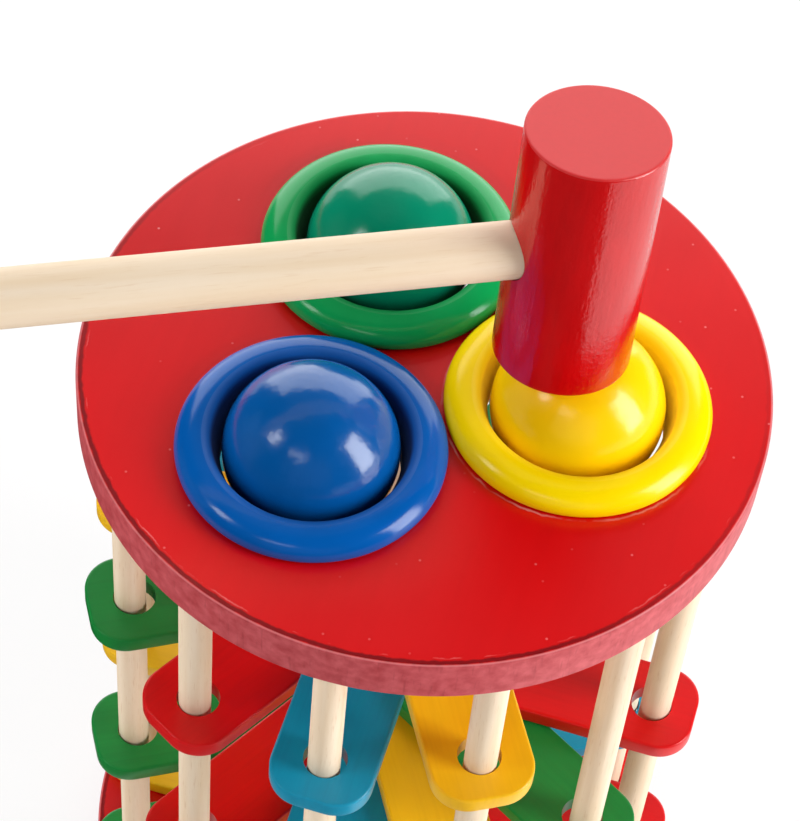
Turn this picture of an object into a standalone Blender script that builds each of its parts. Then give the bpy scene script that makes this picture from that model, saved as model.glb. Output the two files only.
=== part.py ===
# Pound and roll tower: a round top board with three balls in grip rings, a stair of slats that
# winds down a central post inside a ring of dowels, a round base and a loose mallet.
# Metres, +Z up, base on z = 0, tower axis on the Z axis, front towards -Y.
import math

import bmesh
import bpy
from mathutils import Matrix, Vector

MM = 0.001

# clearance between neighbouring pieces
GAP = 0.3 * MM

# balls and the rings that grip them
BALL_RADIUS = 22.5 * MM
BALL_PLAY = 2.5 * MM  # between ball and bead
FOOT_PLAY = 0.8 * MM  # between ball and the foot of the sleeve, as the ball passes
RING_WIDTH = 9.5 * MM  # bead, from bore to outer edge
RING_HEIGHT = 7.2 * MM  # bead, above the board
RING_BELLY = 2.2 * MM  # height of the bead's widest line
RING_TUCK = 1.0 * MM  # bead drawn in at its foot
RING_EDGE = 1.8 * MM  # round of the bead's inner rim
RING_SPACE = 0.8 * MM  # between neighbouring rings
RING_TURN = -30.0  # degrees from the front to the blue ring, then every third of a turn
SLEEVE_DEPTH = 7.0 * MM  # below the board's face
SLEEVE_WALL = 1.8 * MM
LUG_BITE = 0.4 * MM  # under the ball, from its widest line
LUG_WIDTH = 9.0 * MM
LUG_THICK = 2.7 * MM
LUG_TURN = -50.0  # degrees, then every third of a turn

# top board and base
BOARD_RIM = 15.2 * MM  # rings to the board's edge
BOARD_THICK = 14.0 * MM
BOARD_SKIN = 6.0 * MM  # left above the dowel sockets
BOARD_ROUND = 0.7 * MM
BASE_THICK = 14.0 * MM
BASE_SKIN = 6.0 * MM  # left under the dowel sockets

# post, dowels and slats
PLACES = 12  # dowel places round the tower
DOWEL_INSET = 11.4 * MM  # dowel axes to the board's edge
DOWEL_RADIUS = 4.4 * MM
ROD_CHAMFER = 1.0 * MM
POST_RADIUS = 8.0 * MM
FIRST_PLACE = 1  # dowel place of the highest slat
SLAT_COUNT = 29
SLAT_STEP = 6.0 * MM
SLAT_WIDTH = 28.0 * MM
SLAT_END = 11.9 * MM  # past the dowel axis
SLAT_CORNER = 10.0 * MM
HOLE_PLAY = 1.2 * MM  # the hole sits this far inward of its dowel
STAIR_ROOM = 8.0 * MM  # spare height for a ball above the stair

# mallet, standing on the yellow ball
HEAD_RADIUS = 17.4 * MM
HEAD_LENGTH = 70.0 * MM
HEAD_ROUND = 0.7 * MM
HEAD_WALL = 8.4 * MM  # left behind the handle's socket
HEAD_TILT = 7.9  # degrees from upright
HEAD_TILT_TO = 96.3  # degrees from +X
HEAD_OFF_X = -6.4 * MM  # head axis from the spot it strikes
HEAD_OFF_Y = -4.3 * MM
HANDLE_RADIUS = 7.15 * MM
HANDLE_ROUND = 3.2 * MM
HANDLE_REACH = 180.0 * MM  # far end from the head axis
HANDLE_TO = 209.2  # degrees from +X

# derived sizes
THIRD = 360 / 3  # degrees, between rings and between lugs
RING_BORE = BALL_RADIUS + BALL_PLAY
RING_RADIUS = RING_BORE + RING_WIDTH
SLEEVE_BORE = BALL_RADIUS + FOOT_PLAY
SLEEVE_RADIUS = RING_BORE + SLEEVE_WALL
HOLE_CIRCLE = (RING_RADIUS + RING_SPACE / 2) / math.sin(math.radians(THIRD / 2))
BOARD_RADIUS = HOLE_CIRCLE + RING_RADIUS + BOARD_RIM
DOWEL_CIRCLE = BOARD_RADIUS - DOWEL_INSET
SLAT_HOLE = DOWEL_RADIUS + HOLE_PLAY + GAP
STAIR_TOP = BASE_THICK + SLAT_COUNT * SLAT_STEP
BOARD_UNDER = STAIR_TOP + 2 * BALL_RADIUS + STAIR_ROOM
BOARD_TOP = BOARD_UNDER + BOARD_THICK
LUG_RADIUS = BALL_RADIUS - LUG_BITE
BALL_DROP = math.sqrt(BALL_RADIUS**2 - (LUG_RADIUS - GAP) ** 2)  # lugs below the ball's centre
SLEEVE_FOOT = BOARD_TOP - SLEEVE_DEPTH
BALL_HEIGHT = SLEEVE_FOOT + LUG_THICK + BALL_DROP
EXIT_PLACE = (FIRST_PLACE - SLAT_COUNT) % PLACES  # next after the lowest slat
EXIT_HEIGHT = BASE_THICK + (PLACES - 1) * SLAT_STEP  # the dowel there ends in the slat one turn up

SLAT_PAINTS = ("yellow", "blue", "red", "green")
RING_PLACES = (("blue", RING_TURN), ("yellow", RING_TURN + THIRD), ("green", RING_TURN + 2 * THIRD))
FINISHES = {  # linear colour, roughness
    "red": ((0.55, 0.012, 0.018), 0.35),
    "blue": ((0.004, 0.09, 0.42), 0.25),
    "green": ((0.01, 0.26, 0.075), 0.3),
    "yellow": ((0.92, 0.62, 0.006), 0.3),
    "beech": ((0.78, 0.6, 0.4), 0.6),
}


def spot(radius, degrees, height=0.0):
    """A point that far from the tower axis, turned from the front towards +X."""
    turn = math.radians(degrees)
    return Vector((radius * math.sin(turn), -radius * math.cos(turn), height))


def arc(middle, radius, start, end, steps, tall=None):
    """Points of an arc, or of an ellipse's with tall as its other radius. Angles in degrees."""
    rise = tall or radius
    turns = [math.radians(start + (end - start) * i / steps) for i in range(steps + 1)]
    return [(middle[0] + radius * math.cos(t), middle[1] + rise * math.sin(t)) for t in turns]


def piece(name, shape, finish, place=None, parent=None):
    """An object made from a bmesh, with its own material."""
    bmesh.ops.recalc_face_normals(shape, faces=shape.faces)
    mesh = bpy.data.meshes.new(name)
    shape.to_mesh(mesh)
    shape.free()
    mesh.shade_smooth()
    mesh.set_sharp_from_angle(angle=math.radians(35))
    made = bpy.data.objects.new(name, mesh)
    bpy.context.scene.collection.objects.link(made)
    made.parent = parent
    if place:
        made.location = place
    colour, roughness = FINISHES[finish]
    material = bpy.data.materials.new(name)
    material.use_nodes = True
    shader = material.node_tree.nodes["Principled BSDF"]
    shader.inputs["Base Color"].default_value = (*colour, 1)
    shader.inputs["Roughness"].default_value = roughness
    mesh.materials.append(material)
    return made


def lathe(profile, steps, closed=False):
    """The (radius, height) profile turned about Z, closed on itself or ending on the axis."""
    shape = bmesh.new()
    rows = []
    for radius, height in profile:
        if radius == 0:
            rows.append([shape.verts.new((0, 0, height))] * steps)
        else:
            points = arc((0, 0), radius, 0, 360, steps)[:-1]
            rows.append([shape.verts.new((x, y, height)) for x, y in points])
    following = rows[1:] + rows[:1] if closed else rows[1:]
    for low, high in zip(rows, following):
        for i in range(steps):
            j = (i + 1) % steps
            corners = dict.fromkeys((low[i], low[j], high[j], high[i]))
            shape.faces.new(list(corners))
    return shape


def rod(radius, low, high, steps, chamfer=0.0):
    if not chamfer:
        return lathe([(0, low), (radius, low), (radius, high), (0, high)], steps)
    foot = [(radius - chamfer, low), (radius, low + chamfer)]
    tip = [(radius, high - chamfer), (radius - chamfer, high)]
    return lathe([(0, low)] + foot + tip + [(0, high)], steps)


def rounded_rod(radius, low, high, edge, steps):
    """A turned disc or block with rounded arrises."""
    foot = arc((radius - edge, low + edge), edge, -90, 0, 2)
    tip = arc((radius - edge, high - edge), edge, 0, 90, 2)
    return lathe([(0, low)] + foot + tip + [(0, high)], steps)


def plate(outline, holes, thick):
    """A flat plate from z = 0 up, with holes through it."""
    shape = bmesh.new()
    for loop in [outline] + holes:
        points = [shape.verts.new((x, y, 0)) for x, y in loop]
        for a, b in zip(points, points[1:] + points[:1]):
            shape.edges.new((a, b))
    bmesh.ops.triangle_fill(shape, use_beauty=True, edges=shape.edges)
    grown = bmesh.ops.extrude_face_region(shape, geom=shape.faces[:])["geom"]
    raised = [item for item in grown if isinstance(item, bmesh.types.BMVert)]
    bmesh.ops.translate(shape, verts=raised, vec=(0, 0, thick))
    return shape


def moved(shape, offset, turn=None):
    if turn:
        bmesh.ops.transform(shape, matrix=turn, verts=shape.verts)
    bmesh.ops.translate(shape, verts=shape.verts, vec=offset)
    return shape


def together(shapes):
    """One bmesh holding several separate shapes."""
    whole = bmesh.new()
    for shape in shapes:
        part = bpy.data.meshes.new("shape")
        shape.to_mesh(part)
        shape.free()
        whole.from_mesh(part)
        bpy.data.meshes.remove(part)
    return whole


def boolean(target, shapes, operation):
    """Cuts the shapes out of the target, or joins them to it, in the target's own frame."""
    name = f"{target.name}_{operation.lower()}"
    helper = piece(name, together(shapes), "beech", target.location, target.parent)
    helper.hide_render = True
    helper.display_type = "WIRE"
    change = target.modifiers.new(operation.title(), "BOOLEAN")
    change.operation = operation
    change.object = helper
    change.solver = "EXACT"


def dowel_spot(place):
    return spot(DOWEL_CIRCLE, place * 360 / PLACES)


def rod_sockets(low, high, places):
    """Cutters for the blind holes that take the post and the dowels."""
    holes = [rod(POST_RADIUS + GAP, low, high, 20)]
    for place in places:
        holes.append(moved(rod(DOWEL_RADIUS + GAP, low, high, 10), dowel_spot(place)))
    return holes


def base():
    board = piece("base", rounded_rod(BOARD_RADIUS, 0, BASE_THICK, BOARD_ROUND, 60), "red")
    standing = [place for place in range(PLACES) if place != EXIT_PLACE]
    boolean(board, rod_sockets(BASE_SKIN, BASE_THICK + BASE_SKIN, standing), "DIFFERENCE")


def top_board():
    board = piece("top_board", rounded_rod(BOARD_RADIUS, BOARD_UNDER, BOARD_TOP, BOARD_ROUND, 60), "red")
    low, high = BOARD_UNDER - BOARD_SKIN, BOARD_TOP + BOARD_SKIN
    cutters = rod_sockets(low, BOARD_TOP - BOARD_SKIN, range(PLACES))
    for _, angle in RING_PLACES:
        cutters.append(moved(rod(SLEEVE_RADIUS + GAP, low, high, 36), spot(HOLE_CIRCLE, angle)))
    boolean(board, cutters, "DIFFERENCE")


def post_and_dowels():
    """The dowel at the way out is short, so that a ball can roll out under it."""
    low = BASE_SKIN + GAP
    high = BOARD_TOP - BOARD_SKIN - GAP
    piece("post", rod(POST_RADIUS, low, high, 20, ROD_CHAMFER), "beech")
    for place in range(PLACES):
        foot = EXIT_HEIGHT + GAP if place == EXIT_PLACE else low
        shape = rod(DOWEL_RADIUS, foot, high, 12, ROD_CHAMFER)
        piece(f"dowel_{place + 1:02d}", shape, "beech", dowel_spot(place))


def slats():
    """Each slat lies along +X before it turns: round about the post, with rounded outer corners."""
    half = SLAT_WIDTH / 2
    end = DOWEL_CIRCLE + SLAT_END
    corner = min(SLAT_CORNER, 0.95 * half)
    outline = (
        arc((end - corner, corner - half), corner, -90, 0, 4)
        + arc((end - corner, half - corner), corner, 0, 90, 4)
        + arc((0, 0), half, 90, 270, 6)
    )
    post_hole = arc((0, 0), POST_RADIUS + GAP, 0, 360, 14)[:-1]
    dowel_hole = arc((DOWEL_CIRCLE - HOLE_PLAY, 0), SLAT_HOLE, 0, 360, 12)[:-1]
    for number in range(SLAT_COUNT):
        foot = STAIR_TOP - (number + 1) * SLAT_STEP + GAP
        shape = plate(outline, [post_hole, dowel_hole], SLAT_STEP - GAP)
        paint = SLAT_PAINTS[number % len(SLAT_PAINTS)]
        slat = piece(f"slat_{number + 1:02d}", shape, paint, (0, 0, foot))
        slat.rotation_euler.z = math.radians((FIRST_PLACE - number) * 360 / PLACES - 90)


def ring(paint, angle):
    """Rounded bead on the board and a short funnel of a sleeve in it, with three lugs under the ball."""
    bed = BOARD_TOP + GAP
    crown = BOARD_TOP + RING_HEIGHT
    inner = RING_BORE + RING_EDGE
    belly = BOARD_TOP + RING_BELLY
    profile = [(SLEEVE_BORE, SLEEVE_FOOT), (SLEEVE_RADIUS, SLEEVE_FOOT), (SLEEVE_RADIUS, bed)]
    profile += arc((RING_RADIUS - RING_TUCK, belly), RING_TUCK, -90, 0, 2, belly - bed)
    profile += arc((inner, belly), RING_RADIUS - inner, 0, 90, 5, crown - belly)[1:]
    profile += arc((inner, crown - RING_EDGE), RING_EDGE, 90, 180, 2)[1:]
    place = spot(HOLE_CIRCLE, angle)
    band = piece(f"ring_{paint}", lathe(profile, 36, closed=True), paint, place)
    lugs = []
    reach = RING_BORE + SLEEVE_WALL / 2
    for number in range(3):
        lug = bmesh.new()
        bmesh.ops.create_cube(lug, size=1)
        size = Matrix.Diagonal((reach - LUG_RADIUS, LUG_WIDTH, LUG_THICK, 1))
        bmesh.ops.transform(lug, matrix=size, verts=lug.verts)
        moved(lug, ((reach + LUG_RADIUS) / 2, 0, SLEEVE_FOOT + LUG_THICK / 2))
        turn = Matrix.Rotation(math.radians(LUG_TURN - 90 + number * THIRD), 4, "Z")
        lugs.append(moved(lug, (0, 0, 0), turn))
    boolean(band, lugs, "UNION")


def ball(paint, angle):
    shape = bmesh.new()
    bmesh.ops.create_uvsphere(shape, u_segments=24, v_segments=12, radius=BALL_RADIUS)
    piece(f"ball_{paint}", shape, paint, spot(HOLE_CIRCLE, angle, BALL_HEIGHT))


def mallet():
    """The head leans back on the yellow ball, with the handle out to the front left."""
    tilt, lean, aim = (math.radians(angle) for angle in (HEAD_TILT, HEAD_TILT_TO, HANDLE_TO))
    up = Vector((math.sin(tilt) * math.cos(lean), math.sin(tilt) * math.sin(lean), math.cos(tilt)))
    across = up.cross(Vector((math.cos(aim), math.sin(aim), 0))).normalized()
    out = across.cross(up)
    struck = spot(HOLE_CIRCLE, dict(RING_PLACES)["yellow"], BALL_HEIGHT) + up * (BALL_RADIUS + GAP)
    aside = Vector((HEAD_OFF_X, HEAD_OFF_Y, 0))
    foot = struck + aside - up * aside.dot(up)
    hold = bpy.data.objects.new("mallet", None)
    bpy.context.scene.collection.objects.link(hold)
    turn = Matrix((out, across, up)).transposed().to_4x4()
    hold.matrix_world = Matrix.Translation(foot + up * HEAD_LENGTH / 2) @ turn

    half = HEAD_LENGTH / 2
    grip = HEAD_RADIUS - HEAD_WALL
    lie = Matrix.Rotation(math.radians(90), 4, "Y")
    head = piece("mallet_head", rounded_rod(HEAD_RADIUS, -half, half, HEAD_ROUND, 32), "red", parent=hold)
    socket = rod(HANDLE_RADIUS + GAP, -grip - GAP, 2 * HEAD_RADIUS, 20)
    boolean(head, [moved(socket, (0, 0, 0), lie)], "DIFFERENCE")
    tip = arc((HANDLE_RADIUS - HANDLE_ROUND, HANDLE_REACH - HANDLE_ROUND), HANDLE_ROUND, 0, 90, 3)
    profile = [(0, -grip), (HANDLE_RADIUS, -grip)] + tip + [(0, HANDLE_REACH)]
    piece("mallet_handle", moved(lathe(profile, 20), (0, 0, 0), lie), "beech", parent=hold)


for left_over in list(bpy.data.objects):
    bpy.data.objects.remove(left_over)
bpy.context.scene.unit_settings.scale_length = 1.0
base()
post_and_dowels()
slats()
top_board()
for ring_paint, ring_angle in RING_PLACES:
    ring(ring_paint, ring_angle)
    ball(ring_paint, ring_angle)
mallet()
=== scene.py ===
import math

import bmesh
import bpy
from mathutils import Matrix, Vector


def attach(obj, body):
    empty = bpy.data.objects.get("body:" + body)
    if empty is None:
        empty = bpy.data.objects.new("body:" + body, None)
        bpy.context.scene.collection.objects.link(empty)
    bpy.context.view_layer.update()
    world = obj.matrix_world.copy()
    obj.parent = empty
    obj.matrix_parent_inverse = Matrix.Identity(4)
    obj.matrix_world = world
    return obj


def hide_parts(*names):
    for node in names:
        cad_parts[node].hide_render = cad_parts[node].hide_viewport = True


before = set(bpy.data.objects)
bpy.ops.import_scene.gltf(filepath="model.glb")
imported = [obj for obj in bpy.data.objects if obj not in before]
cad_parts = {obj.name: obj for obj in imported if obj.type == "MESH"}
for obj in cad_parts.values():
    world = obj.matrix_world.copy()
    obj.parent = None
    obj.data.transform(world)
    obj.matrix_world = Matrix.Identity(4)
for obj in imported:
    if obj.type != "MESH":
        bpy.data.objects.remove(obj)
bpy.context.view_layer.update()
mm = 0.001
creaseAngle = math.radians(38)  # edges that turn by more than this stay crisp

# Shared helpers

def hexColour(code):  # sRGB hex to linear
    parts = [int(code[i:i + 2], 16) / 255 for i in (0, 2, 4)]
    return tuple(c / 12.92 if c <= 0.04045 else ((c + 0.055) / 1.055) ** 2.4 for c in parts) + (1.0,)


def perSize(sizeMm):  # texture scale for features of that size, or of one size along each axis
    return tuple(1000 / size for size in sizeMm) if isinstance(sizeMm, tuple) else 1000 / sizeMm


def connect(tree, node, sockets):  # a socket takes a value, another socket, or a node for its first output
    for key, value in sockets.items():
        if isinstance(value, bpy.types.Node):
            value = next(output for output in value.outputs if output.enabled)
        if isinstance(value, bpy.types.NodeSocket):
            tree.links.new(value, node.inputs[key])
        else:
            node.inputs[key].default_value = value
    return node


def addNode(tree, kind, sockets=None, **settings):
    node = tree.nodes.new(kind)
    for key, value in settings.items():
        setattr(node, key, value)
    return connect(tree, node, sockets or {})


def newMaterial(name):
    material = bpy.data.materials.new(name)
    material.use_nodes = True
    return material, material.node_tree, material.node_tree.nodes["Principled BSDF"]


def arcPoints(middle, across, tall, start, end, steps):
    turns = [math.radians(start + (end - start) * i / steps) for i in range(steps + 1)]
    return [(middle[0] + across * math.cos(t), middle[1] + tall * math.sin(t)) for t in turns]


def spot(radius, degrees):  # turned from the front, -Y, towards +X
    turn = math.radians(degrees)
    return Vector((radius * math.sin(turn), -radius * math.cos(turn), 0))


def turned(profile, steps, closed=False, sweep=(0, 360)):  # (radius, height) in mm, about Z
    shape = bmesh.new()
    whole = sweep[1] - sweep[0] == 360
    rows = []
    for radius, height in profile:
        if radius == 0:
            rows.append([shape.verts.new((0, 0, height * mm))] * (steps + 1))
        else:
            ring = arcPoints((0, 0), radius * mm, radius * mm, *sweep, steps)
            row = [shape.verts.new((x, y, height * mm)) for x, y in (ring[:-1] if whole else ring)]
            rows.append(row + row[:1] if whole else row)
    for low, high in zip(rows, rows[1:] + rows[:1] if closed else rows[1:]):
        for i in range(steps):
            shape.faces.new(list(dict.fromkeys((low[i], low[i + 1], high[i + 1], high[i]))))
    return shape


def roundedDisc(radius, low, high, edge, steps):
    rim, arcSteps = 0.35, 6  # the flat band beside each arris keeps the shading of the face level
    foot = arcPoints((radius - edge, low + edge), edge, edge, -90, 0, arcSteps)
    tip = arcPoints((radius - edge, high - edge), edge, edge, 0, 90, arcSteps)
    inner = radius - edge - rim
    return turned([(0, low), (inner, low)] + foot + tip + [(inner, high), (0, high)], steps)


def drill(radius, low, high, steps):  # a plain cylinder to cut with
    return turned([(0, low), (radius, low), (radius, high), (0, high)], steps)


def moved(shape, matrix):
    bmesh.ops.transform(shape, matrix=matrix, verts=shape.verts)
    return shape


def newObject(name, shape):
    bmesh.ops.recalc_face_normals(shape, faces=shape.faces)
    mesh = bpy.data.meshes.new(name)
    shape.to_mesh(mesh)
    shape.free()
    mesh.shade_smooth()
    mesh.set_sharp_from_angle(angle=creaseAngle)
    made = bpy.data.objects.new(name, mesh)
    bpy.context.scene.collection.objects.link(made)
    return made


def bake(made):  # turns what the modifiers give into the object's own mesh
    graph = bpy.context.evaluated_depsgraph_get()
    result = made.evaluated_get(graph)
    mesh = bpy.data.meshes.new_from_object(result, preserve_all_data_layers=True, depsgraph=graph)
    made.modifiers.clear()
    made.data = mesh
    return made


def combine(made, shapes, operation):  # cuts the shapes out of a piece, or joins them to it
    whole = bmesh.new()
    for shape in shapes:
        part = bpy.data.meshes.new("part")
        shape.to_mesh(part)
        shape.free()
        whole.from_mesh(part)
        bpy.data.meshes.remove(part)
    tool = newObject("tool", whole)
    change = made.modifiers.new("change", "BOOLEAN")
    change.operation = operation
    change.object = tool
    change.solver = "EXACT"
    bake(made)
    bpy.data.objects.remove(tool)
    made.data.shade_smooth()
    made.data.set_sharp_from_angle(angle=creaseAngle)
    return made


def finishPiece(made, body, slot, material, *nodes):
    made.data.materials.clear()
    made.data.materials.append(material)
    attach(made, body)
    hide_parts(*nodes)
    print("piece", made.name, len(made.data.polygons), "faces")


# Materials: From and To values say which part of a noise shows, from 0 to 1

def localPlace(tree, look):  # the piece's own frame, or a stored place where copies need one each
    if "attribute" in look:
        return addNode(tree, "ShaderNodeAttribute", attribute_name=look["attribute"]).outputs["Vector"]
    place = addNode(tree, "ShaderNodeTexCoord").outputs["Object"]
    return addNode(tree, "ShaderNodeMapping", {"Vector": place, "Location": look.get("centre", (0, 0, 0)),
                   "Rotation": look.get("turn", (0, 0, 0))}, vector_type="TEXTURE")


brushwork = {"grainFrom": 0.42, "grainTo": 0.72, "grainDetail": 4, "roughSpread": 0.015, "endFadeMm": 0.4}


def paintedWood(name, look):
    # enamel brushed on sanded wood: even colour, a soft mottle, a fine tooth, the grain faintly raised
    material, tree, shader = newMaterial(name)
    deep, light, tint = (hexColour(look[key]) for key in ("deep", "light", "grainTint"))
    place = localPlace(tree, look)
    mottle = addNode(tree, "ShaderNodeTexNoise", {"Vector": place, "Scale": perSize(look["mottleMm"])})
    along = addNode(tree, "ShaderNodeMapping", {"Vector": place, "Scale": perSize(look["grainMm"])})
    grain = addNode(tree, "ShaderNodeTexNoise", {"Vector": along, "Scale": 1,
                    "Detail": brushwork["grainDetail"]})
    tooth = addNode(tree, "ShaderNodeTexNoise", {"Vector": place, "Scale": perSize(look["toothMm"])})
    colour = addNode(tree, "ShaderNodeMix", {"Factor": mottle, "A": deep, "B": light}, data_type="RGBA")
    shows = addNode(tree, "ShaderNodeMapRange", {"Value": grain, "From Min": brushwork["grainFrom"],
                    "From Max": brushwork["grainTo"], "To Max": look["grainShow"]})
    colour = addNode(tree, "ShaderNodeMix", {"Factor": shows, "A": colour, "B": tint}, data_type="RGBA")
    rough = addNode(tree, "ShaderNodeMapRange", {"Value": mottle,
                    "To Min": look["rough"] - brushwork["roughSpread"],
                    "To Max": look["rough"] + brushwork["roughSpread"]})
    raised = addNode(tree, "ShaderNodeMath", {0: grain, 1: look["grainDeepMm"]}, operation="MULTIPLY")
    height = addNode(tree, "ShaderNodeMath", {0: tooth, 1: look["toothDeepMm"], 2: raised},
                     operation="MULTIPLY_ADD")
    strength = 1.0
    if "endFrom" in look:  # the end faces are sanded level and duller than the lacquered side; their lighter colour is painted light from above
        upHead = addNode(tree, "ShaderNodeSeparateXYZ", {"Vector": place}).outputs["Z"]
        away = addNode(tree, "ShaderNodeMath", {0: upHead}, operation="ABSOLUTE")
        atEnd = addNode(tree, "ShaderNodeMapRange", {"Value": away,
                        "From Min": (look["endFrom"] - brushwork["endFadeMm"]) * mm,
                        "From Max": look["endFrom"] * mm})
        strength = addNode(tree, "ShaderNodeMapRange", {"Value": atEnd, "To Min": strength,
                           "To Max": look["endBump"]})
        rough = addNode(tree, "ShaderNodeMath", {0: atEnd, 1: look["endRough"] - look["rough"], 2: rough},
                        operation="MULTIPLY_ADD")
        paintedEndLight = addNode(tree, "ShaderNodeMath", {0: atEnd, 1: look["endLitShow"]}, operation="MULTIPLY")
        colour = addNode(tree, "ShaderNodeMix", {"Factor": paintedEndLight, "A": colour,
                         "B": hexColour(look["endLitPaint"])}, data_type="RGBA")
    bump = addNode(tree, "ShaderNodeBump", {"Height": height, "Strength": strength, "Distance": mm})
    connect(tree, shader, {"Base Color": colour, "Roughness": rough, "Normal": bump,
            "Specular IOR Level": look.get("shine", 0.5)})
    return material


def boardWearAndPaintedLight(material, look):
    # a turned board's edge drinks the paint and leaves a chalky side; a painted shade line lies inside the
    # arris towards the front, and a painted highlight runs along the arris
    tree = material.node_tree
    shader = tree.nodes["Principled BSDF"]
    colour, rough = (shader.inputs[key].links[0].from_socket for key in ("Base Color", "Roughness"))
    place = addNode(tree, "ShaderNodeTexCoord").outputs["Object"]
    flat = addNode(tree, "ShaderNodeVectorMath", {0: place, 1: (1, 1, 0)}, operation="MULTIPLY")
    reach = addNode(tree, "ShaderNodeVectorMath", {0: flat}, operation="LENGTH")
    cloud = addNode(tree, "ShaderNodeTexNoise", {"Vector": place, "Scale": perSize(look["cloudMm"]),
                    "Detail": look["cloudDetail"]})
    cloudy = addNode(tree, "ShaderNodeMapRange", {"Value": cloud, "From Min": look["cloudFrom"],
                     "From Max": look["cloudTo"]})
    chalk = addNode(tree, "ShaderNodeMix", {"Factor": cloudy, "A": hexColour(look["chalkDeep"]),
                    "B": hexColour(look["chalk"])}, data_type="RGBA")
    down = addNode(tree, "ShaderNodeMapping", {"Vector": place, "Scale": perSize(look["streakMm"])})
    streak = addNode(tree, "ShaderNodeTexNoise", {"Vector": down, "Scale": 1})
    shows = addNode(tree, "ShaderNodeMapRange", {"Value": streak, "From Min": look["streakFrom"],
                    "From Max": look["streakTo"], "To Max": look["streakShow"]})
    chalk = addNode(tree, "ShaderNodeMix", {"Factor": shows, "A": chalk, "B": hexColour(look["line"])},
                    data_type="RGBA")
    edge = look["edgeMm"]
    onSide = addNode(tree, "ShaderNodeMapRange", {"Value": reach, "From Min": (edge + look["sideFrom"]) * mm,
                     "From Max": (edge + look["sideTo"]) * mm})
    colour = addNode(tree, "ShaderNodeMix", {"Factor": onSide, "A": colour, "B": chalk}, data_type="RGBA")
    ahead = addNode(tree, "ShaderNodeVectorMath", {0: flat, 1: spot(1, look["frontAim"])},
                    operation="DOT_PRODUCT")
    facingFront = addNode(tree, "ShaderNodeMapRange", {"Value": ahead, "From Min": look["frontFrom"] * mm,
                   "From Max": edge * mm, "To Max": look["frontShow"]})
    ragged = addNode(tree, "ShaderNodeMath", {0: cloud, 1: look["ragMm"] * mm, 2: reach},
                     operation="MULTIPLY_ADD")
    midRag = look["ragMm"] / 2
    # painted shade: a dark line inside the arris, towards the front; painted highlight: a pale band on the
    # arris
    lines = [(ragged, edge + midRag, look["shadeLineBand"], look["line"], facingFront),
             (reach, edge, look["arrisHighlightBand"], look["arris"], look["arrisHighlightShow"])]
    if "paleMarks" in look:  # pale marks in broken lines towards the front: before the foot of the struck ring, and near the edge
        near = addNode(tree, "ShaderNodeVectorMath", {0: flat, 1: look["struck"]}, operation="DISTANCE")
        near = addNode(tree, "ShaderNodeMath", {0: cloud, 1: look["ragMm"] * mm, 2: near},
                       operation="MULTIPLY_ADD")
        patch = addNode(tree, "ShaderNodeTexNoise", {"Vector": place, "Scale": perSize(look["markPatchMm"]),
                        "Detail": look["markPatchDetail"]})
        for where, distance, start in (("foot", near, look["footMm"]), ("rim", ragged, edge)):
            broken = addNode(tree, "ShaderNodeMapRange", {"Value": patch, "From Min": look[where + "From"],
                             "From Max": look[where + "To"], "To Max": look[where + "Show"]})
            share = addNode(tree, "ShaderNodeMath", {0: broken, 1: facingFront}, operation="MULTIPLY")
            lines.append((distance, start + midRag, look[where + "Band"], look["paleMarks"], share))
    for distance, start, (off, half, soft), paint, share in lines:
        past = addNode(tree, "ShaderNodeMath", {0: distance, 1: (start + off) * mm}, operation="SUBTRACT")
        away = addNode(tree, "ShaderNodeMath", {0: past}, operation="ABSOLUTE")
        drawn = addNode(tree, "ShaderNodeMapRange", {"Value": away, "From Min": (half + soft) * mm,
                        "From Max": half * mm, "To Max": share})
        colour = addNode(tree, "ShaderNodeMix", {"Factor": drawn, "A": colour, "B": hexColour(paint)},
                         data_type="RGBA")
    if "specks" in look:  # dust caught in the paint, in loose groups
        cells = addNode(tree, "ShaderNodeTexVoronoi", {"Vector": place,
                        "Scale": perSize(look["speckEveryMm"])}, voronoi_dimensions="2D")
        size = look["speckMm"] / look["speckEveryMm"] / 2
        group = addNode(tree, "ShaderNodeTexNoise", {"Vector": place,
                        "Scale": perSize(look["speckGroupMm"])})
        some = addNode(tree, "ShaderNodeMapRange", {"Value": group, "From Min": look["speckFrom"],
                       "From Max": look["speckTo"], "To Max": look["speckShow"]})
        dots = addNode(tree, "ShaderNodeMapRange", {"Value": cells, "From Min": size, "From Max": size / 2,
                       "To Max": some})
        colour = addNode(tree, "ShaderNodeMix", {"Factor": dots, "A": colour,
                         "B": hexColour(look["specks"])}, data_type="RGBA")
    rough = addNode(tree, "ShaderNodeMath", {0: onSide, 1: look["sideDull"], 2: rough},
                    operation="MULTIPLY_ADD")
    connect(tree, shader, {"Base Color": colour, "Roughness": rough})
    return material


def glossEnamel(name, look):
    # enamel dipped on a wooden ball: thick, wet-looking, with slow waves that bend the highlights
    material, tree, shader = newMaterial(name)
    place = localPlace(tree, look)
    mottle = addNode(tree, "ShaderNodeTexNoise", {"Vector": place, "Scale": perSize(look["mottleMm"])})
    colour = addNode(tree, "ShaderNodeMix", {"Factor": mottle, "A": hexColour(look["deep"]),
                     "B": hexColour(look["light"])}, data_type="RGBA")
    wave = addNode(tree, "ShaderNodeTexNoise", {"Vector": place, "Scale": perSize(look["waveMm"])})
    peel = addNode(tree, "ShaderNodeTexNoise", {"Vector": place, "Scale": perSize(look["peelMm"])})
    slow = addNode(tree, "ShaderNodeMath", {0: wave, 1: look["waveDeepMm"]}, operation="MULTIPLY")
    height = addNode(tree, "ShaderNodeMath", {0: peel, 1: look["peelDeepMm"], 2: slow},
                     operation="MULTIPLY_ADD")
    bump = addNode(tree, "ShaderNodeBump", {"Height": height, "Strength": 1.0, "Distance": mm})
    connect(tree, shader, {"Base Color": colour, "Normal": bump, "Roughness": look["rough"],
            "Specular IOR Level": look["shine"]})
    return material


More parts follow.
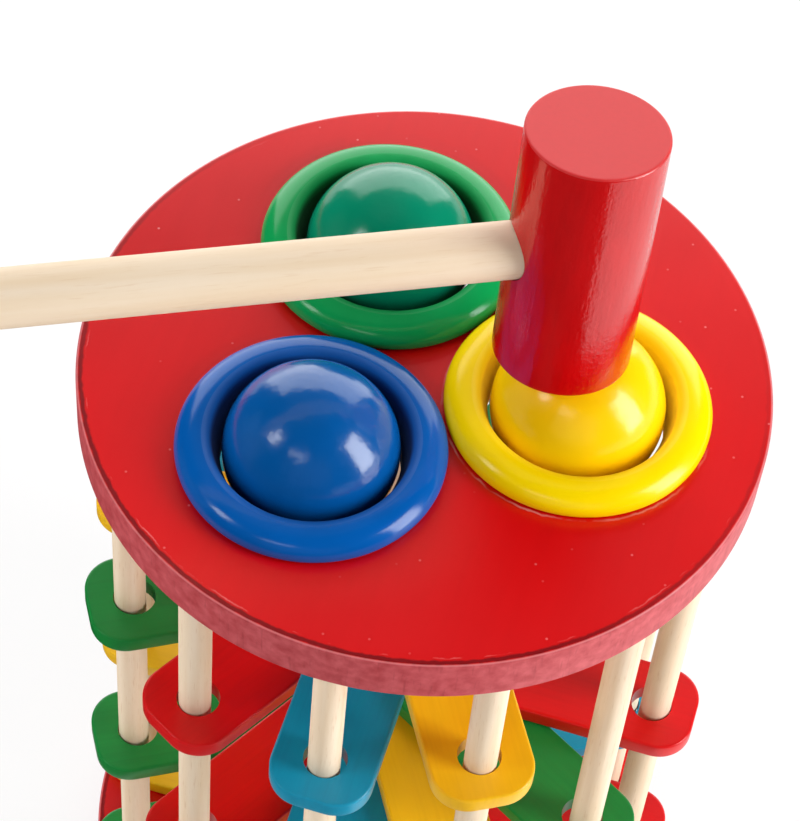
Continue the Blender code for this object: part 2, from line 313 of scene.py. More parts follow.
def mouldedPlastic(name, look):
    # moulded ring: one deep colour and a smooth skin with faint flow marks, dull inside the bore, where the
    # colour is painted light and shade: darker as painted shade in the blue and green rings, paler as
    # painted bounced light in the yellow one
    material, tree, shader = newMaterial(name)
    place = localPlace(tree, look)
    flow = addNode(tree, "ShaderNodeTexNoise", {"Vector": place, "Scale": perSize(look["flowMm"])})
    flat = addNode(tree, "ShaderNodeVectorMath", {0: place, 1: (1, 1, 0)}, operation="MULTIPLY")
    reach = addNode(tree, "ShaderNodeVectorMath", {0: flat}, operation="LENGTH")
    inside = addNode(tree, "ShaderNodeMapRange", {"Value": reach, "From Min": look["boreFrom"] * mm,
                     "From Max": look["boreTo"] * mm})
    colour = addNode(tree, "ShaderNodeMix", {"Factor": flow, "A": hexColour(look["deep"]),
                     "B": hexColour(look["light"])}, data_type="RGBA")
    colour = addNode(tree, "ShaderNodeMix", {"Factor": inside, "A": colour, "B": hexColour(look["bore"])},
                     data_type="RGBA")
    rough = addNode(tree, "ShaderNodeMapRange", {"Value": reach, "From Min": look["dullFrom"] * mm,
                    "From Max": look["boreFrom"] * mm, "To Min": look["rough"], "To Max": look["dull"]})
    skin = addNode(tree, "ShaderNodeTexNoise", {"Vector": place, "Scale": perSize(look["skinMm"])})
    bump = addNode(tree, "ShaderNodeBump", {"Height": skin, "Strength": 1.0,
                   "Distance": look["skinDeepMm"] * mm})
    connect(tree, shader, {"Base Color": colour, "Roughness": rough, "Normal": bump,
            "Specular IOR Level": look["shine"]})
    return material


sanding = {"bandFrom": 0.25, "bandTo": 0.75, "bandDetail": 3, "fleckFrom": 0.6, "fleckTo": 0.75,
           "roughPale": 0.55, "roughDeep": 0.65, "shine": 0.3}


def bareBeech(name, look):
    # sanded beech: pale and dry, slow bands along the rod, short darker flecks
    material, tree, shader = newMaterial(name)
    place = localPlace(tree, look)
    along = addNode(tree, "ShaderNodeMapping", {"Vector": place, "Scale": perSize(look["bandMm"])})
    bands = addNode(tree, "ShaderNodeTexNoise", {"Vector": along, "Scale": 1,
                    "Detail": sanding["bandDetail"]})
    bands = addNode(tree, "ShaderNodeMapRange", {"Value": bands, "From Min": sanding["bandFrom"],
                    "From Max": sanding["bandTo"]})
    short = addNode(tree, "ShaderNodeMapping", {"Vector": place, "Scale": perSize(look["fleckMm"])})
    flecks = addNode(tree, "ShaderNodeTexNoise", {"Vector": short, "Scale": 1})
    colour = addNode(tree, "ShaderNodeMix", {"Factor": bands, "A": hexColour(look["light"]),
                     "B": hexColour(look["deep"])}, data_type="RGBA")
    dark = addNode(tree, "ShaderNodeMapRange", {"Value": flecks, "From Min": sanding["fleckFrom"],
                   "From Max": sanding["fleckTo"], "To Max": look["fleckShow"]})
    colour = addNode(tree, "ShaderNodeMix", {"Factor": dark, "A": colour, "B": hexColour(look["fleck"])},
                     data_type="RGBA")
    rough = addNode(tree, "ShaderNodeMapRange", {"Value": bands, "To Min": sanding["roughPale"],
                    "To Max": sanding["roughDeep"]})
    bump = addNode(tree, "ShaderNodeBump", {"Height": flecks, "Strength": 1.0,
                   "Distance": look["fleckDeepMm"] * mm})
    connect(tree, shader, {"Base Color": colour, "Roughness": rough, "Normal": bump,
            "Specular IOR Level": sanding["shine"]})
    return material


# Top board and base, in mm; skin is the wood left over a blind hole, past is how far a cutter runs out

board = {"radius": 90.0, "under": 241.0, "top": 255.0, "round": 0.7, "baseThick": 14.0, "skin": 6.0,
         "past": 5.0, "steps": 240}
holes = {"circle": 40.299, "radius": 27.1, "steps": 144, "struck": "yellow",
         "places": {"blue": -30.0, "yellow": 90.0, "green": 210.0}}
rods = {"places": 12, "circle": 78.599, "radius": 4.4, "post": 8.0, "play": 0.3, "exit": 8, "chamfer": 1.0,
        "foot": 6.3, "shortFoot": 80.3, "head": 248.7, "steps": 40, "postSteps": 64, "holeSteps": 32,
        "postHoleSteps": 48}


def ringPlace(paint):
    return spot(holes["circle"] * mm, holes["places"][paint])


def rodPlace(place):
    return spot(rods["circle"] * mm, place * 360 / rods["places"])


def rodHoles(low, high, places):  # cutters for the post and for the dowels at those places
    cutters = [drill(rods["post"] + rods["play"], low, high, rods["postHoleSteps"])]
    for place in places:
        hole = drill(rods["radius"] + rods["play"], low, high, rods["holeSteps"])
        cutters.append(moved(hole, Matrix.Translation(rodPlace(place))))
    return cutters


# the tooth of the paint is drawn coarser than a brush leaves it, so that it shows
boardLook = {"light": "D80308", "deep": "D00206", "grainTint": "C20206", "grainShow": 0.15, "mottleMm": 26,
             "grainMm": (3.0, 30.0, 30.0), "toothMm": 0.8, "rough": 0.255, "toothDeepMm": 0.006,
             "grainDeepMm": 0.003}
edgeLook = {  # a band is how far past its place it lies, its half width and its soft margin, in mm
    "edgeMm": board["radius"] - board["round"], "sideFrom": 0.2, "sideTo": 0.4, "sideDull": 0.25,
    "chalk": "CE565C", "chalkDeep": "B4363C", "cloudMm": 3.0, "cloudDetail": 4, "cloudFrom": 0.3,
    "cloudTo": 0.7, "streakMm": (0.9, 0.9, 7.0), "streakFrom": 0.6, "streakTo": 0.8, "streakShow": 0.4,
    # line is the colour of the side's streaks and of a painted shade line inside the arris
    "line": "82080F", "shadeLineBand": (-0.55, 0.3, 0.5), "ragMm": 1.2,
    # arris is a painted highlight along the rounded arris
    "arris": "E08A8C", "arrisHighlightBand": (0.3, 0.1, 0.2), "arrisHighlightShow": 0.5,
    "frontAim": -15, "frontFrom": -60, "frontShow": 1.3,  # the painted shade line and the pale marks grow towards this many degrees from the front
}
useLook = {
    "struck": ringPlace(holes["struck"]), "paleMarks": "E89A98", "markPatchMm": 12, "markPatchDetail": 4,
    "footMm": 34.75, "footBand": (0.0, 0.1, 0.3), "footFrom": 0.42, "footTo": 0.6, "footShow": 1.0,
    "rimBand": (-1.7, 0.05, 0.2), "rimFrom": 0.5, "rimTo": 0.65, "rimShow": 0.45,
    "specks": "F0A0A0", "speckMm": 0.8, "speckEveryMm": 15, "speckGroupMm": 31, "speckFrom": 0.45,
    "speckTo": 0.7, "speckShow": 0.55,
}

boardPaint = boardWearAndPaintedLight(paintedWood("enamelPaintedBoard", boardLook), {**edgeLook, **useLook})
topShape = roundedDisc(board["radius"], board["under"], board["top"], board["round"], board["steps"])
topBoard = newObject("topBoard", topShape)
low, high = board["under"] - board["past"], board["top"] + board["past"]
cutters = rodHoles(low, board["top"] - board["skin"], range(rods["places"]))
for paint in holes["places"]:
    hole = drill(holes["radius"], low, high, holes["steps"])
    cutters.append(moved(hole, Matrix.Translation(ringPlace(paint))))
combine(topBoard, cutters, "DIFFERENCE")
finishPiece(topBoard, "tower", "red_enamel", boardPaint, "top_board")

baseShape = roundedDisc(board["radius"], 0, board["baseThick"], board["round"], board["steps"])
baseBoard = newObject("baseBoard", baseShape)
standing = [place for place in range(rods["places"]) if place != rods["exit"]]
combine(baseBoard, rodHoles(board["skin"], board["baseThick"] + board["past"], standing), "DIFFERENCE")
basePaint = boardWearAndPaintedLight(paintedWood("enamelPaintedBase", boardLook), edgeLook)
finishPiece(baseBoard, "tower", "red_enamel", basePaint, "base")

# Post and dowels; the flecks are drawn longer than beech has them, so that they show

beechLook = {"light": "F0DDC4", "deep": "E6CCAB", "fleck": "CFA87C", "fleckShow": 0.4,
             "bandMm": (2.6, 2.6, 60.0), "fleckMm": (0.5, 0.5, 7.0), "fleckDeepMm": 0.03}
beech = bareBeech("bareBeechRod", beechLook)


def rodShape(radius, low, high, steps):
    edge = rods["chamfer"]
    return turned([(0, low), (radius - edge, low), (radius, low + edge), (radius, high - edge),
                   (radius - edge, high), (0, high)], steps)


post = newObject("centrePost", rodShape(rods["post"], rods["foot"], rods["head"], rods["postSteps"]))
finishPiece(post, "tower", "bare_beech", beech, "post")


def rodTree():  # copies the rod to every place round the tower but one
    tree = bpy.data.node_groups.new("rodsRoundTower", "GeometryNodeTree")
    for name, kind in (("Rod", "NodeSocketGeometry"), ("Places", "NodeSocketInt"),
                       ("Left out", "NodeSocketInt"), ("Circle", "NodeSocketFloat"),
                       ("Finish", "NodeSocketMaterial")):
        tree.interface.new_socket(name, in_out="INPUT", socket_type=kind)
    tree.interface.new_socket("Rods", in_out="OUTPUT", socket_type="NodeSocketGeometry")
    given = addNode(tree, "NodeGroupInput").outputs
    number = addNode(tree, "GeometryNodeInputIndex")
    share = addNode(tree, "ShaderNodeMath", {0: number, 1: given["Places"]}, operation="DIVIDE")
    turn = addNode(tree, "ShaderNodeMath", {0: share, 1: 2 * math.pi}, operation="MULTIPLY")
    sine = addNode(tree, "ShaderNodeMath", {0: turn}, operation="SINE")
    cosine = addNode(tree, "ShaderNodeMath", {0: turn}, operation="COSINE")
    back = addNode(tree, "ShaderNodeMath", {0: cosine, 1: -1.0}, operation="MULTIPLY")
    aim = addNode(tree, "ShaderNodeCombineXYZ", {"X": sine, "Y": back})
    place = addNode(tree, "ShaderNodeVectorMath", {0: aim, "Scale": given["Circle"]}, operation="SCALE")
    points = addNode(tree, "GeometryNodePoints", {"Count": given["Places"], "Position": place})
    kept = addNode(tree, "FunctionNodeCompare", {2: number, 3: given["Left out"]},  # whole-number inputs
                   data_type="INT", operation="NOT_EQUAL")
    copies = addNode(tree, "GeometryNodeInstanceOnPoints", {"Points": points, "Selection": kept,
                     "Instance": given["Rod"]})
    real = addNode(tree, "GeometryNodeRealizeInstances", {"Geometry": copies})
    dressed = addNode(tree, "GeometryNodeSetMaterial", {"Geometry": real, "Material": given["Finish"]})
    addNode(tree, "NodeGroupOutput", {"Rods": dressed})
    return tree


def useTree(made, tree, values):  # inputs are set by their sockets' identifiers
    change = made.modifiers.new("repeat", "NODES")
    change.node_group = tree
    for item in tree.interface.items_tree:
        if item.item_type == "SOCKET" and item.in_out == "INPUT" and item.name in values:
            change[item.identifier] = values[item.name]
    return bake(made)


dowels = newObject("dowels", rodShape(rods["radius"], rods["foot"], rods["head"], rods["steps"]))
useTree(dowels, rodTree(), {"Places": rods["places"], "Left out": rods["exit"],
                            "Circle": rods["circle"] * mm, "Finish": beech})
finishPiece(dowels, "tower", "bare_beech", beech, *[f"dowel_{place + 1:02d}" for place in standing])
shortRod = rodShape(rods["radius"], rods["shortFoot"], rods["head"], rods["steps"])
shortDowel = newObject("shortDowel", moved(shortRod, Matrix.Translation(rodPlace(rods["exit"]))))
finishPiece(shortDowel, "tower", "bare_beech", beech, f"dowel_{rods['exit'] + 1:02d}")

# Stair of slats, in mm; grainApart is how far one slat's grain lies from the next one's, in metres

slat = {"count": 29, "step": 6.0, "gap": 0.3, "wide": 28.0, "end": 90.499, "corner": 10.0, "edge": 0.7,
        "rim": 0.3, "postHole": 8.3, "dowelHole": 5.9, "holeAt": 77.399, "top": 188.0, "first": 1,
        "cornerSteps": 14, "endSteps": 30, "edgeSteps": 4, "postHoleSteps": 48, "dowelHoleSteps": 36,
        "grainApart": (0.031, 0.047, 0.013)}
slatLooks = {
    "yellow": {"light": "F3C016", "deep": "EAB00C", "grainTint": "D79A08"},
    "blue": {"light": "0892B4", "deep": "0786A6", "grainTint": "067292"},
    "red": {"light": "DC060B", "deep": "D00508", "grainTint": "B80406"},
    "green": {"light": "128839", "deep": "0E7C32", "grainTint": "0A6628"},
}
slatCommon = {"attribute": "grainPlace", "grainShow": 0.22, "mottleMm": 18, "grainMm": (24.0, 1.2, 6.0),
              "toothMm": 0.8, "rough": 0.33, "toothDeepMm": 0.01, "grainDeepMm": 0.018, "shine": 0.4}


def slatShape():  # lies along +X from the post, rounded at both ends, its arrises eased
    half, end, corner, edge = slat["wide"] / 2, slat["end"], slat["corner"], slat["edge"]
    thick = slat["step"] - slat["gap"]
    runs = (((end - corner, corner - half), corner, -90, 0, slat["cornerSteps"]),
            ((end - corner, half - corner), corner, 0, 90, slat["cornerSteps"]),
            ((0, 0), half, 90, 270, slat["endSteps"]))
    outline, aims = [], []
    for middle, radius, start, stop, steps in runs:
        outline += arcPoints(middle, radius, radius, start, stop, steps)
        aims += arcPoints((0, 0), 1, 1, start, stop, steps)
    eased = arcPoints((edge, edge), edge, edge, 180, 270, slat["edgeSteps"])  # (inset, height), lower arris
    lower = [(edge + slat["rim"], 0.0)] + [(inset, rise) for inset, rise in reversed(eased)]
    section = lower + [(inset, thick - rise) for inset, rise in reversed(lower)]
    shape = bmesh.new()
    rows = [[shape.verts.new(((x - ax * inset) * mm, (y - ay * inset) * mm, rise * mm))
             for (x, y), (ax, ay) in zip(outline, aims)] for inset, rise in section]
    bores = []
    for radius, centre, steps in ((slat["postHole"], 0, slat["postHoleSteps"]),
                                  (slat["dowelHole"], slat["holeAt"], slat["dowelHoleSteps"])):
        circle = arcPoints((centre, 0), radius, radius, 0, 360, steps)[:-1]
        bores.append([[shape.verts.new((x * mm, y * mm, rise * mm)) for x, y in circle]
                      for rise in (0, thick)])
    for low, high in list(zip(rows, rows[1:])) + [tuple(bore) for bore in bores]:
        for i in range(len(low)):
            j = (i + 1) % len(low)
            shape.faces.new((low[i], low[j], high[j], high[i]))
    for side in (0, -1):
        loops = [rows[side]] + [bore[side] for bore in bores]
        edges = [shape.edges.get((a, b)) for loop in loops for a, b in zip(loop, loop[1:] + loop[:1])]
        bmesh.ops.triangle_fill(shape, use_beauty=True, edges=edges)
    return shape


def stairTree():  # winds copies of a slat down the post, each with grain of its own
    tree = bpy.data.node_groups.new("windingStair", "GeometryNodeTree")
    for name, kind in (("Slat", "NodeSocketGeometry"), ("Count", "NodeSocketInt"),
                       ("First", "NodeSocketInt"), ("Every", "NodeSocketInt"),
                       ("Start turn", "NodeSocketFloat"), ("Turn", "NodeSocketFloat"),
                       ("Top foot", "NodeSocketFloat"), ("Drop", "NodeSocketFloat"),
                       ("Paint", "NodeSocketMaterial")):
        tree.interface.new_socket(name, in_out="INPUT", socket_type=kind)
    tree.interface.new_socket("Slats", in_out="OUTPUT", socket_type="NodeSocketGeometry")
    given = addNode(tree, "NodeGroupInput").outputs
    own = addNode(tree, "GeometryNodeInputPosition")
    marked = addNode(tree, "GeometryNodeStoreNamedAttribute", {"Geometry": given["Slat"],
                     "Name": "grainPlace", "Value": own}, data_type="FLOAT_VECTOR", domain="POINT")
    index = addNode(tree, "GeometryNodeInputIndex")
    number = addNode(tree, "ShaderNodeMath", {0: index, 1: given["Every"], 2: given["First"]},
                     operation="MULTIPLY_ADD")
    fall = addNode(tree, "ShaderNodeMath", {0: number, 1: given["Drop"]}, operation="MULTIPLY")
    height = addNode(tree, "ShaderNodeMath", {0: given["Top foot"], 1: fall}, operation="SUBTRACT")
    place = addNode(tree, "ShaderNodeCombineXYZ", {"Z": height})
    wound = addNode(tree, "ShaderNodeMath", {0: number, 1: given["Turn"]}, operation="MULTIPLY")
    angle = addNode(tree, "ShaderNodeMath", {0: given["Start turn"], 1: wound}, operation="SUBTRACT")
    facing = addNode(tree, "ShaderNodeCombineXYZ", {"Z": angle})
    points = addNode(tree, "GeometryNodePoints", {"Count": given["Count"], "Position": place})
    copies = addNode(tree, "GeometryNodeInstanceOnPoints", {"Points": points, "Instance": marked,
                     "Rotation": facing})
    numbered = addNode(tree, "GeometryNodeStoreNamedAttribute", {"Geometry": copies, "Name": "slatNumber",
                       "Value": number}, data_type="FLOAT", domain="INSTANCE")
    real = addNode(tree, "GeometryNodeRealizeInstances", {"Geometry": numbered})
    mine = addNode(tree, "GeometryNodeInputNamedAttribute", {"Name": "grainPlace"}, data_type="FLOAT_VECTOR")
    which = addNode(tree, "GeometryNodeInputNamedAttribute", {"Name": "slatNumber"}, data_type="FLOAT")
    apart = addNode(tree, "ShaderNodeVectorMath", {0: slat["grainApart"], "Scale": which}, operation="SCALE")
    grain = addNode(tree, "ShaderNodeVectorMath", {0: mine, 1: apart}, operation="ADD")
    grained = addNode(tree, "GeometryNodeStoreNamedAttribute", {"Geometry": real, "Name": "grainPlace",
                      "Value": grain}, data_type="FLOAT_VECTOR", domain="POINT")
    dressed = addNode(tree, "GeometryNodeSetMaterial", {"Geometry": grained, "Material": given["Paint"]})
    addNode(tree, "NodeGroupOutput", {"Slats": dressed})
    return tree


stair = stairTree()
turnEach = 2 * math.pi / rods["places"]
for first, (paint, look) in enumerate(slatLooks.items()):
    numbers = range(first, slat["count"], len(slatLooks))
    painted = paintedWood(f"paintedSlat{paint.title()}", {**slatCommon, **look})
    slats = newObject(f"slats{paint.title()}", slatShape())
    useTree(slats, stair, {"Count": len(numbers), "First": first, "Every": len(slatLooks),
            "Start turn": slat["first"] * turnEach - math.pi / 2, "Turn": turnEach,
            "Top foot": (slat["top"] - slat["step"] + slat["gap"]) * mm, "Drop": slat["step"] * mm,
            "Paint": painted})
    slatNodes = [f"slat_{number + 1:02d}" for number in numbers]
    finishPiece(slats, "tower", f"{paint}_stain", painted, *slatNodes)

# Rings and balls, in mm

ring = {"bore": 25.0, "wide": 9.5, "high": 7.2, "belly": 2.2, "tuck": 1.0, "edge": 2.6, "sleeve": 26.8,
        "deep": 7.0, "neck": 23.0, "neckDeep": 1.0, "bed": 0.3, "steps": 180, "tuckSteps": 8,
        "crownSteps": 24, "edgeSteps": 12, "lugs": 3, "lugIn": 22.1, "lugWide": 9.0, "lugThick": 2.7,
        "lugTurn": -50.0}
ringLooks = {
    # bore is the colour painted inside the bore: painted shade in blue and green, painted bounced light in
    # yellow
    "blue": {"light": "035BB0", "deep": "0254A4", "bore": "022C62", "rough": 0.16, "shine": 0.33},
    "yellow": {"light": "FFE000", "deep": "FCD800", "bore": "FFE420", "rough": 0.2, "shine": 0.3},
    "green": {"light": "10A055", "deep": "0E944C", "bore": "064A22", "rough": 0.16, "shine": 0.3},
}
ringCommon = {"dullFrom": 28.0, "boreFrom": 25.8, "boreTo": 24.8, "dull": 0.95, "flowMm": 9, "skinMm": 2.2,
              "skinDeepMm": 0.012}
ball = {"radius": 22.5, "height": 256.269, "subdivisions": 6}
ballLooks = {
    "blue": {"light": "0256A0", "deep": "024E94", "rough": 0.18, "shine": 0.5, "waveDeepMm": 0.2},
    "yellow": {"light": "FFD405", "deep": "FFCB03", "rough": 0.21, "shine": 0.4, "waveDeepMm": 0.16},
    "green": {"light": "048766", "deep": "037D5C", "rough": 0.2, "shine": 0.45, "waveDeepMm": 0.16},
}
ballCommon = {"mottleMm": 14, "waveMm": 6, "peelMm": 2.2, "peelDeepMm": 0.05}


def ringShape():  # a rounded bead on the board, with a sleeve that goes down into the hole
    outer, top = ring["bore"] + ring["wide"], board["top"]
    inner, crown, belly = ring["bore"] + ring["edge"], top + ring["high"], top + ring["belly"]
    foot, bed = top - ring["deep"], top + ring["bed"]
    profile = [(ring["neck"], top - ring["neckDeep"]), (ring["neck"], foot), (ring["sleeve"], foot),
               (ring["sleeve"], bed)]
    profile += arcPoints((outer - ring["tuck"], belly), ring["tuck"], belly - bed, -90, 0, ring["tuckSteps"])
    profile += arcPoints((inner, belly), outer - inner, crown - belly, 0, 90, ring["crownSteps"])[1:]
    profile += arcPoints((inner, crown - ring["edge"]), ring["edge"], ring["edge"], 90, 180,
                         ring["edgeSteps"])[1:]
    return turned(profile, ring["steps"], closed=True)


def lugShapes(place):  # small blocks inside the sleeve's foot, which hold the ball
    outer = (ring["bore"] + ring["sleeve"]) / 2
    size = ((outer - ring["lugIn"]) * mm, ring["lugWide"] * mm, ring["lugThick"] * mm, 1)
    height = board["top"] - ring["deep"] + ring["lugThick"] / 2
    middle = ((outer + ring["lugIn"]) / 2 * mm, 0, height * mm)
    shapes = []
    for number in range(ring["lugs"]):
        turn = math.radians(ring["lugTurn"] - 90 + number * 360 / ring["lugs"])  # made on +X, 90 past -Y
        lug = bmesh.new()
        bmesh.ops.create_cube(lug, size=1)
        for step in (Matrix.Diagonal(size), Matrix.Translation(middle), Matrix.Rotation(turn, 4, "Z"),
                     place):
            moved(lug, step)
        shapes.append(lug)
    return shapes


for paint in holes["places"]:
    place = Matrix.Translation(ringPlace(paint))
    centred = {**ringCommon, **ringLooks[paint], "centre": place.translation[:]}
    plastic = mouldedPlastic(f"mouldedRing{paint.title()}", centred)
    ringPiece = newObject(f"ring{paint.title()}", moved(ringShape(), place))
    combine(ringPiece, lugShapes(place), "UNION")
    finishPiece(ringPiece, "tower", f"{paint}_ring", plastic, f"ring_{paint}")
    enamel = glossEnamel(f"dippedBall{paint.title()}", {**ballCommon, **ballLooks[paint]})
    shape = bmesh.new()
    bmesh.ops.create_icosphere(shape, subdivisions=ball["subdivisions"], radius=ball["radius"] * mm)
    moved(shape, Matrix.Translation((0, 0, ball["height"] * mm)))
    ballPiece = newObject(f"ball{paint.title()}", moved(shape, place))
    finishPiece(ballPiece, f"{paint}_ball", f"{paint}_enamel", enamel, f"ball_{paint}")

# Mallet, in mm and degrees

mallet = {"radius": 17.4, "length": 70.0, "round": 0.7, "wall": 8.4, "tilt": 7.9, "tiltTo": 96.3,
          "off": (-6.4, -4.3), "handle": 7.15, "handleRound": 3.2, "reach": 180.0, "handleTo": 209.2,
          "gap": 0.3, "steps": 160, "handleSteps": 96, "tipSteps": 10}
# endLitPaint is a lighter red laid on the end faces as painted light from above
malletLook = {"light": "C80105", "deep": "BA0003", "grainTint": "A80002", "grainShow": 0.3, "mottleMm": 20,
              "grainMm": (1.4, 1.4, 8.0), "toothMm": 1.1, "rough": 0.17, "toothDeepMm": 0.08,
              "grainDeepMm": 0.12, "endFrom": mallet["length"] / 2 - 0.1, "endBump": 0.08, "endRough": 0.6,
              "endLitPaint": "DE0509", "endLitShow": 0.55, "shine": 0.85}
handleLook = {"light": "E9D6BE", "deep": "E1C9A9", "fleck": "CFAA7E", "fleckShow": 0.25,
              "bandMm": (70.0, 3.2, 3.2), "fleckMm": (8.0, 0.6, 0.6), "fleckDeepMm": 0.03}


def malletFrame():  # middle of the head; X along the handle, Z up the head
    tilt, lean, aim = (math.radians(mallet[key]) for key in ("tilt", "tiltTo", "handleTo"))
    up = Vector((math.sin(tilt) * math.cos(lean), math.sin(tilt) * math.sin(lean), math.cos(tilt)))
    across = up.cross(Vector((math.cos(aim), math.sin(aim), 0))).normalized()
    out = across.cross(up)
    ballAt = ringPlace(holes["struck"]) + Vector((0, 0, ball["height"] * mm))
    struck = ballAt + up * (ball["radius"] + mallet["gap"]) * mm
    aside = Vector((*mallet["off"], 0)) * mm
    middle = struck + aside - up * aside.dot(up) + up * mallet["length"] / 2 * mm
    return Matrix.Translation(middle) @ Matrix((out, across, up)).transposed().to_4x4()


hold = malletFrame()
local = {"centre": hold.translation[:], "turn": hold.to_euler()[:]}
lie = hold @ Matrix.Rotation(math.radians(90), 4, "Y")  # lays a turned shape along the handle
half = mallet["length"] / 2
grip = mallet["radius"] - mallet["wall"]
headShape = roundedDisc(mallet["radius"], -half, half, mallet["round"], mallet["steps"])
head = newObject("malletHead", moved(headShape, hold))
socket = drill(mallet["handle"] + mallet["gap"], -grip - mallet["gap"], 2 * mallet["radius"],
               mallet["handleSteps"])
combine(head, [moved(socket, lie)], "DIFFERENCE")
lacquer = paintedWood("lacqueredMallet", {**malletLook, **local})
finishPiece(head, "mallet", "red_enamel", lacquer, "mallet_head")

wide, bend = mallet["handle"], mallet["handleRound"]
tip = arcPoints((wide - bend, mallet["reach"] - bend), bend, bend, 0, 90, mallet["tipSteps"])
handleShape = turned([(0, -grip), (wide, -grip)] + tip + [(0, mallet["reach"])], mallet["handleSteps"])
handle = newObject("malletHandle", moved(handleShape, lie))
handleBeech = bareBeech("bareBeechHandle", {**handleLook, **local})
finishPiece(handle, "mallet", "bare_beech", handleBeech, "mallet_handle")

# Stage, light and camera

stage = {"size": 8.0, "paint": (0.9, 0.9, 0.9, 1), "rough": 0.8, "white": 0.78, "fadeFrom": 0.35,
         "fadeTo": 1.1, "sky": 0.05}  # metres and levels
pureWhite = (1, 1, 1, 1)


def backgroundRays(tree):  # 1 where the camera, a reflection or a see-through surface meets the background
    path = addNode(tree, "ShaderNodeLightPath").outputs
    seen = addNode(tree, "ShaderNodeMath", {0: path["Is Camera Ray"], 1: path["Is Glossy Ray"]},
                   operation="MAXIMUM")
    return addNode(tree, "ShaderNodeMath", {0: seen, 1: path["Is Transmission Ray"]}, operation="MAXIMUM")


def floorMaterial():  # pale where the shadow falls, and white farther out
    material, tree, shader = newMaterial("paleFloor")
    connect(tree, shader, {"Base Color": stage["paint"], "Roughness": stage["rough"]})
    place = addNode(tree, "ShaderNodeTexCoord").outputs["Object"]
    far = addNode(tree, "ShaderNodeVectorMath", {0: place}, operation="LENGTH")
    white = addNode(tree, "ShaderNodeMapRange", {"Value": far, "From Min": stage["fadeFrom"],
                    "From Max": stage["fadeTo"], "To Min": stage["white"], "To Max": 1.0})
    share = addNode(tree, "ShaderNodeMath", {0: backgroundRays(tree), 1: white}, operation="MULTIPLY")
    glow = addNode(tree, "ShaderNodeEmission", {"Color": pureWhite, "Strength": 1.0})
    mixed = addNode(tree, "ShaderNodeMixShader", {0: share, 1: shader, 2: glow})
    connect(tree, tree.nodes["Material Output"], {"Surface": mixed})
    return material


sheet = bmesh.new()
bmesh.ops.create_grid(sheet, x_segments=1, y_segments=1, size=stage["size"] / 2)
floor = newObject("floor", sheet)
floor.data.materials.append(floorMaterial())

world = bpy.data.worlds.new("studio")
bpy.context.scene.world = world
world.use_nodes = True
level = addNode(world.node_tree, "ShaderNodeMapRange", {"Value": backgroundRays(world.node_tree),
                "To Min": stage["sky"], "To Max": 1.0})
connect(world.node_tree, world.node_tree.nodes["Background"], {"Color": pureWhite, "Strength": level})

# Black cards, met by reflections alone, keep the paint as deep as a darker room would
cards = {"reach": 2400, "lift": 2, "floorFrom": 120, "floorLeft": 146, "floorRight": 311, "domeTo": 89.9,
         "domeSteps": 24, "steps": 48, "black": (0.004, 0.004, 0.004, 1)}  # mm and degrees
blackCard, cardTree, cardShader = newMaterial("blackCard")
connect(cardTree, cardShader, {"Base Color": cards["black"], "Roughness": 1.0, "Specular IOR Level": 0.0})
dome = arcPoints((0, cards["lift"]), cards["reach"], cards["reach"], 0, cards["domeTo"], cards["domeSteps"])
front = [(cards["floorFrom"], cards["lift"]), (cards["reach"], cards["lift"])]
for name, profile, sweep in (("cardDome", dome, (0, 360)),
                             ("cardFloor", front, (cards["floorLeft"], cards["floorRight"]))):
    card = newObject(name, turned(profile, cards["steps"], sweep=sweep))
    card.data.materials.append(blackCard)
    card.visible_camera = card.visible_diffuse = card.visible_transmission = card.visible_shadow = False

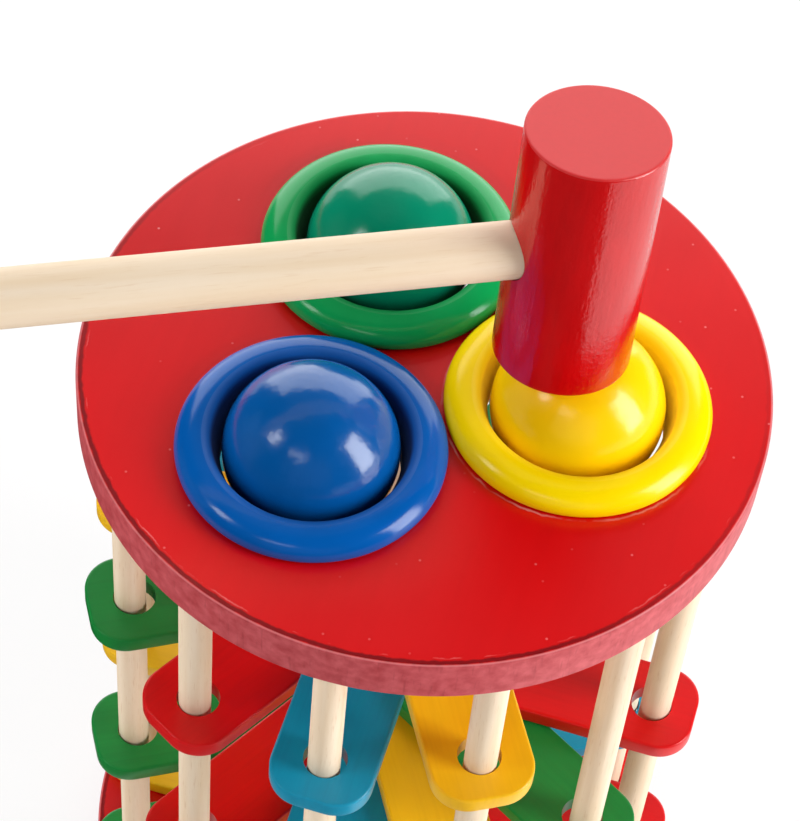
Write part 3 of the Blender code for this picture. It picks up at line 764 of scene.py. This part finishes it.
aimAt = Vector((0, 0, board["top"] * mm))
lamps = {  # azimuth and elevation in degrees, distance and size in metres, radiance, seen in reflections
    "windowRight": (-3, 19, 1.35, (0.55, 1.15), 10.8, True),
    "wallBehind": (102, 17, 1.6, (2.5, 1.65), 3.0, True),
    "paneLeft": (-146, 40, 1.4, (0.26, 0.36), 8.5, True),
    "paneFront": (-98, 41, 1.5, (0.5, 0.22), 3.0, True),
    "fillFront": (-80, 22, 1.6, (1.6, 1.0), 1.35, False),
    "fillLeft": (-168, 7, 1.6, (1.2, 1.0), 3.6, False),
    "fillAbove": (120, 70, 1.6, (1.2, 1.2), 1.4, False),
}
for name, (azimuth, elevation, distance, size, radiance, reflected) in lamps.items():
    lamp = bpy.data.lights.new(name, "AREA")
    lamp.shape = "RECTANGLE"
    lamp.size, lamp.size_y = size
    lamp.energy = radiance * math.pi * size[0] * size[1]
    turn, lift = math.radians(azimuth), math.radians(elevation)
    away = Vector((math.cos(turn) * math.cos(lift), math.sin(turn) * math.cos(lift), math.sin(lift)))
    stand = bpy.data.objects.new(name, lamp)
    bpy.context.scene.collection.objects.link(stand)
    stand.location = aimAt + away * distance
    stand.rotation_euler = away.to_track_quat("Z", "Y").to_euler()
    stand.visible_camera = False
    stand.visible_glossy = reflected

view = {"focalPx": 2826.3557, "distance": 0.728997, "elevation": 0.9122996, "roll": -0.1125433,
        "axisAt": (426.4149, 368.186), "centre": (400.0, 408.0), "turn": 11.04, "frame": (800, 821),
        "sensor": 36, "clip": 0.01}  # pixels, metres and radians, the turn in degrees, the sensor in mm


def cameraMatrix():  # stands before the board and looks at its middle, which lies off the frame's centre
    high, level = math.sin(view["elevation"]), math.cos(view["elevation"])
    stands = Vector((0, -view["distance"] * level, view["distance"] * high))
    facing = Matrix(((1, 0, 0), (0, high, level), (0, level, -high)))
    offset = Vector(((view["axisAt"][0] - view["centre"][0]) / view["focalPx"],
                     -(view["axisAt"][1] - view["centre"][1]) / view["focalPx"], 1)).normalized()
    swing = offset.rotation_difference(Vector((0, 0, 1))).to_matrix()
    rolled = Matrix.Rotation(view["roll"], 3, "Z")
    right, up, forward = swing.transposed() @ rolled @ facing
    turnedBy = Matrix.Rotation(math.radians(view["turn"]), 4, "Z")
    pose = Matrix((right, up, -forward)).transposed().to_4x4()
    return Matrix.Translation(aimAt) @ turnedBy @ Matrix.Translation(stands) @ pose


lens = bpy.data.cameras.new("camera")
lens.sensor_fit = "HORIZONTAL"
lens.sensor_width = view["sensor"]
lens.lens = view["focalPx"] / view["frame"][0] * view["sensor"]
lens.shift_y = (view["centre"][1] - view["frame"][1] / 2) / view["frame"][0]
lens.clip_start = view["clip"]
camera = bpy.data.objects.new("camera", lens)
bpy.context.scene.collection.objects.link(camera)
camera.matrix_world = cameraMatrix()
bpy.context.scene.camera = camera
bpy.context.scene.view_settings.view_transform = "Standard"
print("stage and camera set")
